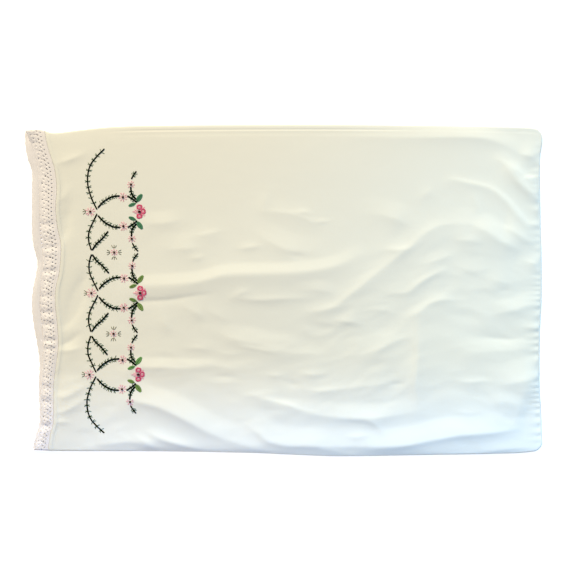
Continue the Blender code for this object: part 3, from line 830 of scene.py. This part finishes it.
def makeLace():
    panel = float((topY(np.zeros(1)) - bottomY(np.zeros(1)))[0])
    fold = math.pi * lie["foldRadius"]
    around = 2 * (panel + fold)
    length = around / lace["repeats"]
    hook = random.Random(lace["seed"])
    openLace = [laceRepeat(length, True, hook) for _ in range(lace["variants"])]
    plainLace = laceRepeat(length, False, hook)
    bm = bmesh.new()
    for i in range(lace["repeats"]):
        onFront = (i + 0.5) * length < panel + fold / 2
        copy = (hook.choice(openLace) if onFront else plainLace).copy()
        copy.transform(Matrix.Translation((i * length, 0, 0)))
        bm.from_mesh(copy)
        bpy.data.meshes.remove(copy)
    bmesh.ops.remove_doubles(bm, verts=bm.verts, dist=1e-3)
    strip = np.array([vert.co for vert in bm.verts])
    run = np.clip(strip[:, 0], 0, around)
    corners = (0, panel, panel + fold, 2 * panel + fold, around)
    across = np.interp(run, corners, (0, 1, 1, 0, 0))
    layer = np.interp(run, corners, (1, 1, 0, 0, 1))
    outward = strip[:, 1] / lie["laceWidth"]
    x, y, z = layOut(1 - outward, across, layer, laceEdgeX, laceHeadX)
    onFront = layer == 1
    fade = lace["endFade"]
    inEnds = smoothStep(across * panel, 0, fade) * smoothStep((1 - across) * panel, 0, fade)
    z = z - np.where(onFront, laceDrop(y, outward) * inEnds, 0)
    roll = np.sin(math.pi * np.clip((outward - lace["hangFrom"]) / 0.62, 0, 1)) ** 0.8
    z = z + np.where(layer == 0, lace["backRoll"] * roll * inEnds, 0)
    z = z + strip[:, 2] * np.where(onFront, 1, 0.35 * (layer == 0))
    uvs = bm.loops.layers.uv.new("laceBand")
    bm.verts.index_update()
    for face in bm.faces:
        for loop in face.loops:
            i = loop.vert.index
            loop[uvs].uv = (strip[i, 0] * mm, strip[i, 1] * mm)
    placeVerts(bm, (x, y, z))
    bmesh.ops.remove_doubles(bm, verts=bm.verts, dist=1e-6)
    bmesh.ops.recalc_face_normals(bm, faces=bm.faces)
    piece = finishPiece("laceEdging", bm, laceLook())
    thicken(piece, lace["thickness"])
    print("lace:", len(piece.data.polygons), "faces before its thickness")
    return piece


stitch = {
    "sides": 6,
    "rings": 6,
    "blunt": 0.35,  # how full its ends are
    "proud": 0.25,  # share of its height that its middle stands above the cloth
    "backHeight": 0.3,  # height of the stitches underneath
}


def stitchShape():
    # a plump stitch of unit size, its length along X
    bm = bmesh.new()
    bm.loops.layers.uv.new("stitch")
    counts = {"u_segments": stitch["sides"], "v_segments": stitch["rings"]}
    bmesh.ops.create_uvsphere(bm, **counts, radius=0.5, calc_uvs=True)
    bmesh.ops.rotate(bm, verts=bm.verts, matrix=Matrix.Rotation(math.pi / 2, 3, "Y"))
    for vert in bm.verts:
        thick = math.hypot(vert.co.y, vert.co.z) * 2
        if thick > 0.01:
            vert.co.yz = vert.co.yz * thick ** -stitch["blunt"]
    mesh = bpy.data.meshes.new("stitch")
    bm.to_mesh(mesh)
    bm.free()
    return mesh


def makeStitches(name, stitches, look, onBack=()):
    # stitches lie on the front: start, end, width and height in mm; those of onBack on the back
    shape = stitchShape()
    rows = np.array([(*start, *end, width, height) for start, end, width, height in stitches])
    startZ = frontHeight(rows[:, 0], rows[:, 1])
    endZ = frontHeight(rows[:, 2], rows[:, 3])
    midX, midY = (rows[:, 0] + rows[:, 2]) / 2, (rows[:, 1] + rows[:, 3]) / 2
    slopeX = frontHeight(midX + 1, midY) - frontHeight(midX - 1, midY)
    slopeY = frontHeight(midX, midY + 1) - frontHeight(midX, midY - 1)
    bm = bmesh.new()

    def place(start, end, up, width, height):
        along = end - start
        side = up.cross(along).normalized()
        up = along.cross(side).normalized()
        turn = Matrix((along, side * width, up * height)).transposed()
        middle = (start + end) / 2 * mm
        copy = shape.copy()
        copy.transform(Matrix.Translation(middle) @ (turn * mm).to_4x4())
        bm.from_mesh(copy)
        bpy.data.meshes.remove(copy)

    for i, (ax, ay, bx, by, width, height) in enumerate(rows):
        up = Vector((-slopeX[i] / 2, -slopeY[i] / 2, 1)).normalized()
        lift = up * (case["thickness"] / 2 + height * stitch["proud"])
        start, end = Vector((ax, ay, startZ[i])) + lift, Vector((bx, by, endZ[i])) + lift
        place(start, end, up, width, height)
    for start, end, width, height in onBack:
        start, end = (Vector((*at, stitch["backHeight"])) for at in (start, end))
        place(start, end, Vector((0, 0, -1)), width, height)
    bpy.data.meshes.remove(shape)
    print(name + ":", len(rows) + len(onBack), "stitches")
    return finishPiece(name, bm, look)


def smoothPath(points, step):
    # places and directions at even steps along a smooth curve through the points
    points = np.array(points, float)
    chord = runAlong(*points.T)
    fine = np.linspace(0, chord[-1], 200)
    x, y = (readCurve(chord, column, fine) for column in points.T)
    run = runAlong(x, y)
    at = np.linspace(0, run[-1], max(int(round(run[-1] / step)), 1) + 1)
    places, ahead, behind = (
        np.stack((np.interp(at + off, run, x), np.interp(at + off, run, y)), 1) for off in (0, 0.3, -0.3)
    )
    headings = ahead - behind
    return places, headings / np.hypot(*headings.T)[:, None]


def turned(direction, degrees):
    a = math.radians(degrees)
    x, y = direction
    return np.array((x * math.cos(a) - y * math.sin(a), x * math.sin(a) + y * math.cos(a)))


hemSewing = {
    "rows": (0.9, 3.6),  # from the hem's edge
    "length": 2.1,
    "pitch": 2.7,
    "width": 0.4,
    "height": 0.3,
    "ends": (6, 4),  # left free at the bottom and the top of each row
    "clear": 3,  # from the cloth's long sides
    # the sewing thread's dark and light: painted shade in the plies' grooves and painted light on their
    # crowns, with random patches of tone
    "colors": ((0.68, 0.64, 0.58), (0.82, 0.79, 0.73)),
    "roughness": 0.7,
}


def makeHemStitches():
    front, back = [], []
    half, clear = hemSewing["length"] / 2, hemSewing["clear"]
    first, last = hemSewing["ends"]
    for inset in hemSewing["rows"]:
        for y in np.arange(first - lie["width"] / 2, lie["width"] / 2 - last, hemSewing["pitch"]):
            for layer, found in ((1, front), (0, back)):
                low, high = (
                    (float(hemEdgeX(np.array(at), layer)) + inset, at) for at in (y - half, y + half)
                )
                x = low[0]
                if bottomY(x) + clear < y < topY(x) - clear:
                    found.append((low, high, hemSewing["width"], hemSewing["height"]))
    sewing = threadLook("sewingThread", *hemSewing["colors"], hemSewing["roughness"])
    return makeStitches("hemStitching", front, sewing, back)


# the embroidery is a vine border of mirrored repeats beside the hem
border = {
    "centres": (121.6, -4.3, -130.4),  # y of each repeat's large flower
    "lean": ((-195, -131, -4, 123, 195), (1.0, 1.0, 4.0, 2.4, 1.4)),  # x drift at y
    "lowerSweep": 0.93,  # the last repeat's long vine is this much shorter
    "stemStep": 2.1,
    "stemLength": 4.2,
    "stemTurn": 7,  # degrees across the line
    "tickSway": (-10, 10),
    "tickReach": (0.85, 1.15),
    "secondTick": (0.6, 42, 0.8),  # how often there is one, its further turn, its share of the length
    "seed": 11,
}

threadKinds = {
    # piece, the thread's dark and light (its tone with painted shade in the plies' grooves, and with
    # painted light on their crowns), its roughness and gloss
    "vine": ("vineStitches", (0.001, 0.003, 0.001), (0.004, 0.012, 0.003), 0.9, 0.02),
    "tick": ("vineTicks", (0.018, 0.062, 0.024), (0.075, 0.16, 0.06), 0.8, 0.1),
    "jade": ("jadeLeafStitches", (0.015, 0.11, 0.06), (0.10, 0.34, 0.19), 0.5, 0.4),
    "leaf": ("leafStitches", (0.045, 0.19, 0.05), (0.20, 0.42, 0.13), 0.5, 0.4),
    "lime": ("limeLeafStitches", (0.08, 0.17, 0.035), (0.26, 0.40, 0.12), 0.5, 0.4),
    "rose": ("petalStitches", (0.62, 0.03, 0.15), (0.88, 0.17, 0.32), 0.5, 0.4),
    "blush": ("paleStitches", (0.80, 0.37, 0.48), (0.90, 0.57, 0.65), 0.6, 0.3),
    "knot": ("flowerKnots", (0.035, 0.001, 0.003), (0.09, 0.006, 0.009), 0.9, 0.0),
    "sepal": ("sprigStitches", (0.08, 0.085, 0.045), (0.20, 0.20, 0.12), 0.65, 0.2),
}

stitchKinds = {
    # thread, width, height
    "tick": ("tick", 1.05, 0.7),
    "secondTick": ("tick", 0.95, 0.65),
    "leafVein": ("tick", 0.9, 0.95),
    "leafTip": ("tick", 0.6, 0.9),
    "knotWrap": ("knot", 1.0, 1.2),
    "ray": ("blush", 0.9, 0.55),
    "longRay": ("blush", 1.05, 0.6),
    "petal": ("rose", 1.15, 0.95),
    "filling": ("blush", 0.85, 0.8),
    "bar": ("sepal", 1.1, 0.7),
    "fan": ("sepal", 1.0, 0.7),
}

stems = {
    # width, and its side stitches' pitch, length, angle and distance from the line
    "vine": (2.4, 9.0, 4.6, 60, 0.8),
    "arc": (2.8, 5.2, 4.4, 52, 1.0),
    "rosette": (2.8, 4.2, 3.8, 52, 0.9),
    "sprig": (2.4, 4.2, 3.6, 52, 0.9),
    "branch": (2.8, 5.2, 4.2, 52, 1.0),
    "tip": (2.4, 3.2, 4.4, 50, 0.8),
}

# each line is drawn from the repeat's centre, y upwards, and mirrored below it
vineLine = [(-292, 5), (-298.5, 18), (-304, 31), (-304.8, 45), (-301.5, 58)]
upperArc = [(-288.5, 7.5), (-282, 14.5), (-274, 20), (-266, 23.5), (-257.5, 24.2)]
endSweep = [(-292, 5), (-299.5, 21), (-304.6, 40), (-304.8, 56), (-300.5, 72), (-291, 85), (-280, 96)]
midBranch = [(-298.5, 5), (-293, 13), (-285, 20), (-275.5, 31)]  # from the middle between repeats
midSprig = [(-236.3, 50.5), (-234, 55), (-230, 60)]
endTip = [(-236.5, -5), (-233.5, 0), (-230.5, 4)]
rosetteStems = [
    [(-238.5, 36.5), (-237, 27), (-231.5, 20.2)],
    [(-242.3, 23.5), (-236.5, 19.8), (-230.6, 15.2)],
]
rosetteLeaves = [
    # base, tip, width
    ((-230.5, 14.2), (-221.3, 27.0), 7.6),
    ((-230.6, 13.0), (-242.3, 8.6), 5.8),
]
# the leaves' threads above and below each large flower
leafThreads = [("jade", "jade"), ("lime", "lime"), ("leaf", "lime")]
satin = {"pitch": 0.62, "slant": 0.1, "veinShare": 0.94}

smallFlowers = {
    # x, y from the repeat's centre, rays, reach
    "side": (-250.8, 22.6, 9, 7.4),
    "bud": (-238, 42, 8, 6.4),
    "outer": (-301.5, 0, 9, 8.2),
    "star": (-265.7, 0, 8, 5.8),
}
largeFlower = {
    "x": -225.8,
    "knot": 4.1,
    "petals": ((0.3, 7.0, 80), (5.8, 0.4, 4), (0.2, -6.8, -82)),  # x, y, and the way each points
    "petalRadius": 5.0,
    "petalStitches": 22,
    "hollow": 0.42,  # share of a petal inside its ring
    "rays": ((180, 11.0), (160, 8.0), (200, 8.0), (135, 6.5), (225, 6.5), (42, 11.5), (-40, 11.5)),
}
sprigForm = {"halfBar": 2.2, "reach": 4.6, "fan": 26}

threads = {name: [] for name in threadKinds}
needle = random.Random(border["seed"])


def leaned(x, y):
    return x + float(readCurve(*border["lean"], y))


def sew(kind, start, end, unsteady=0.15):
    # one stitch, a little uneven as handwork is, of a named kind or its own thread, width and height
    name, width, height = stitchKinds[kind] if kind in stitchKinds else kind
    (ax, ay), (bx, by) = start, end
    sway = [needle.uniform(-unsteady, unsteady) for _ in range(4)]
    start = (leaned(ax, ay) + sway[0], ay + sway[1])
    end = (leaned(bx, by) + sway[2], by + sway[3])
    threads[name].append((start, end, width, height))


def stemStitch(points, width):
    # overlapping stitches, each turned a little across the line
    for place, heading in zip(*smoothPath(points, border["stemStep"])):
        reach = turned(heading, border["stemTurn"]) * border["stemLength"] / 2
        sew(("vine", width, width * 0.5), place - reach, place + reach, unsteady=0.1)


def sideTicks(points, pitch, length, angle, clear, skipEnds):
    # short straight stitches on both sides of a line
    places, headings = smoothPath(points, pitch)
    often, further, shorter = border["secondTick"]
    first, last = skipEnds[0], len(places) - skipEnds[1]
    for place, heading in list(zip(places, headings))[first:last]:
        for side in (1, -1):
            out = turned(heading, side * (angle + needle.uniform(*border["tickSway"])))
            begin = place + turned(heading, side * 90) * clear
            reach = length * needle.uniform(*border["tickReach"])
            sew("tick", begin, begin + out * reach)
            if needle.random() < often:
                second = turned(heading, side * (angle + further)) * reach * shorter
                sew("secondTick", begin, begin + second)


def tickedStem(kind, points, tickedPoints=None, skipEnds=(1, 1)):
    width, *ticks = stems[kind]
    stemStitch(points, width)
    sideTicks(tickedPoints or points, *ticks, skipEnds)


def satinLeaf(base, tip, width, name):
    # slanting stitches from a middle vein out to a pointed oval edge
    base, tip = np.array(base, float), np.array(tip, float)
    axis = tip - base
    length = np.hypot(*axis)
    axis = axis / length
    steps = int(length / satin["pitch"])
    for i in range(steps):
        t = (i + 0.5) / steps
        half = width / 2 * math.sin(math.pi * t**0.85) ** 0.75
        vein = base + axis * length * t * satin["veinShare"]
        for side in (1, -1):
            edge = base + axis * length * min(t + satin["slant"], 1) + turned(axis, side * 90) * half
            sew((name, 0.95, 0.7), vein, edge, unsteady=0.12)
    sew("leafVein", base + axis * 0.5, base + axis * length * 0.55)
    sew("leafTip", base + axis * length * 0.45, base + axis * length * 0.88)


def knot(middle, size):
    sew(("knot", size, size * 0.9), middle - (size / 2, 0), middle + (size / 2, 0), unsteady=0.05)
    for angle in (25, 145, 265):
        start, end = (middle + turned((size * 0.42, 0), angle + turn) for turn in (0, 95))
        sew("knotWrap", start, end, unsteady=0.05)


def ray(kind, middle, angle, spread, reach, start=2.2):
    foot, tip = turned((start, 0), angle), turned((reach, 0), angle + spread)
    sew(kind, middle + foot, middle + tip)


def smallFlower(kind, centre, mirror=1):
    # pale rays round a dark knot
    x, y, rays, reach = smallFlowers[kind]
    middle = np.array((x, centre + y * mirror))
    knot(middle, 3.5)
    for i in range(rays):
        angle = 360 * i / rays + needle.uniform(-7, 7)
        for spread in (-6, 6):
            ray("ray", middle, angle, spread, reach * needle.uniform(0.9, 1.1))


def ringPetal(middle, radius, outward):
    # a heart-shaped ring of close stitches round a light filling, pointing away from the knot
    count, hollow = largeFlower["petalStitches"], largeFlower["hollow"]
    for i in range(count):
        angle = 360 * i / count
        away = math.radians((angle - outward + 180) % 360 - 180)
        shape = 1 - 0.16 * bell(away, 0.4) - 0.2 * bell(abs(away) - math.pi, 0.8)
        inner, outer = (turned((radius * shape * share, 0), angle) for share in (hollow, 1))
        sew("petal", middle + inner, middle + outer)
    for row in (-2, -1, 0, 1, 2):
        offset = row * 0.7
        half = math.sqrt(max((radius * hollow) ** 2 - offset**2, 0.2))
        sew("filling", middle + (-half, offset), middle + (half, offset))


def rosette(y):
    # the large flower: three ringed petals and pale rays round a dark knot
    middle = np.array((largeFlower["x"], y))
    knot(middle, largeFlower["knot"])
    for across, up, outward in largeFlower["petals"]:
        ringPetal(middle + (across, up), largeFlower["petalRadius"], outward)
    for angle, reach in largeFlower["rays"]:
        for spread in (-4, 4):
            ray("longRay", middle, angle, spread, reach)


def sprig(x, y, angle, start):
    # a short bar of grey-green thread with three stitches fanned outwards from it
    middle = np.array((x, y)) + turned((start, 0), angle)
    across = turned((sprigForm["halfBar"], 0), angle + 90)
    sew("bar", middle - across, middle + across)
    for side in (-1, 0, 1):
        foot = middle + across * side * 0.9
        tip = foot + turned((sprigForm["reach"], 0), angle + sprigForm["fan"] * side)
        sew("fan", foot, tip)


def moved(points, centre, mirror):
    return [(x, centre + y * mirror) for x, y in points]


def embroider():
    centres = border["centres"]
    for k, centre in enumerate(centres):
        for mirror in (1, -1):
            isOuter = (k, mirror) in ((0, 1), (len(centres) - 1, -1))
            if isOuter:
                side = moved(endSweep, centre, mirror)
                if mirror == -1:
                    side = [(x, centre + (y - centre) * border["lowerSweep"]) for x, y in side]
                # the last side stitches sit just before the tip
                beforeTip = np.array(side[-2]) * 0.35 + np.array(side[-1]) * 0.65
                tickedStem("vine", side, [*side[:-1], beforeTip], (1, 0))
            else:
                tickedStem("vine", moved(vineLine, centre, mirror))
            tickedStem("arc", moved(upperArc, centre, mirror))
            smallFlower("side", centre, mirror)
            for stem in rosetteStems:
                tickedStem("rosette", moved(stem, centre, mirror))
            for base, tip, width in rosetteLeaves:
                satinLeaf(*moved((base, tip), centre, mirror), width, leafThreads[k][mirror < 0])
            smallFlower("bud", centre, mirror)
            if not isOuter:
                tickedStem("sprig", moved(midSprig, centre, mirror))
        rosette(centre)
        smallFlower("outer", centre)
        sprig(smallFlowers["outer"][0], centre, 180, 7.6)
    for upper, lower in zip(centres, centres[1:]):
        middle = (upper + lower) / 2
        for mirror in (1, -1):
            tickedStem("branch", moved(midBranch, middle, mirror))
        smallFlower("star", middle)
        for angle in (0, 90, 180, 270):
            sprig(smallFlowers["star"][0], middle, angle, 7.2)
    for y, mirror in ((centres[0] + 57, 1), (centres[-1] - 54.5, -1)):
        tickedStem("tip", moved(endTip, y, mirror))


def makeEmbroidery():
    embroider()
    pieces = []
    for name, (piece, *finish) in threadKinds.items():
        pieces.append(makeStitches(piece, threads[name], threadLook(name + "Thread", *finish)))
    return pieces


view = {
    "frameWidth": 899.8,  # mm across the picture at the cloth
    "centre": (9.8, 0.4),
    "distance": 1700,
    "measuredAt": 2.5,  # height of the edge that the frame's width is measured on
    "sensor": 36,
    "clipEnd": 20,
    "floorSize": 7,
    "floorGlow": 0.55,
    "roomLight": 0.3,
}
lights = [
    # name, place in m, aims at, size, spread in degrees, watts, colour
    ("windowLight", (-2.4, 6.8, 4.0), (0, 0, 0), (2.4, 2.4), 180, 838, (1.0, 0.87, 0.578)),
    ("coolWindow", (0.92, 0.5, 0.82), (0.4, -0.24, 0), (0.5, 0.5), 75, 1.6, (0.2, 0.62, 1.0)),
    ("lowWindow", (0.12, -0.12, 0.30), (0.12, -0.38, 0), (1.05, 0.12), 80, 0.56, (0.18, 0.47, 1.0)),
    ("sideWindow", (-0.16, -0.64, 0.22), (-0.14, -0.25, 0), (0.3, 0.2), 100, 0.10, (1.0, 0.7, 0.5)),
]


def makeStage():
    bm = bmesh.new()
    bmesh.ops.create_grid(bm, x_segments=8, y_segments=8, size=view["floorSize"] / 2)
    fixed = {"Roughness": 0.9, "Emission Color": (1, 1, 1, 1), "Emission Strength": view["floorGlow"]}
    look, shader, tree = newLook("paleFloor", fixed)
    clouds = coordinates(tree).noise(1.5, detail=2)
    shade = clouds.mixed((0.93, 0.93, 0.93), (0.95, 0.95, 0.95))
    feed(tree, shader, {"Base Color": shade})
    floor = finishPiece("floor", bm, look, smooth=False)


def makeLights():
    for name, place, target, size, spread, watts, color in lights:
        lamp = bpy.data.lights.new(name, "AREA")
        lamp.shape = "RECTANGLE"
        lamp.size, lamp.size_y = size
        lamp.spread = math.radians(spread)
        lamp.energy = watts
        lamp.color = color
        holder = bpy.data.objects.new(name, lamp)
        holder.location = place
        holder.rotation_euler = (Vector(target) - Vector(place)).to_track_quat("-Z", "Y").to_euler()
        holder.visible_camera = False
        bpy.context.scene.collection.objects.link(holder)
    world = bpy.data.worlds.new("softRoom")
    world.use_nodes = True
    background = world.node_tree.nodes["Background"].inputs
    background["Color"].default_value = (1, 1, 1, 1)
    background["Strength"].default_value = view["roomLight"]
    bpy.context.scene.world = world


def makeCamera():
    camera = bpy.data.cameras.new("photoCamera")
    above = view["distance"] - view["measuredAt"]
    camera.sensor_width = view["sensor"]
    camera.lens = view["sensor"] * above / view["frameWidth"]
    camera.clip_end = view["clipEnd"]
    holder = bpy.data.objects.new("photoCamera", camera)
    holder.location = Vector((*view["centre"], view["distance"])) * mm
    bpy.context.scene.collection.objects.link(holder)
    bpy.context.scene.camera = holder


makeCamera()
makeLights()
makeStage()
print("stage, camera and lights in place")

caseCloth = makeCase()
laceEdging = makeLace()
hemStitching = makeHemStitches()
embroidery = makeEmbroidery()

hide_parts("case_cloth")
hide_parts("lace_edging")
for piece in (caseCloth, laceEdging, hemStitching, *embroidery):
    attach(piece, "root")

bpy.context.scene.view_settings.view_transform = "Standard"
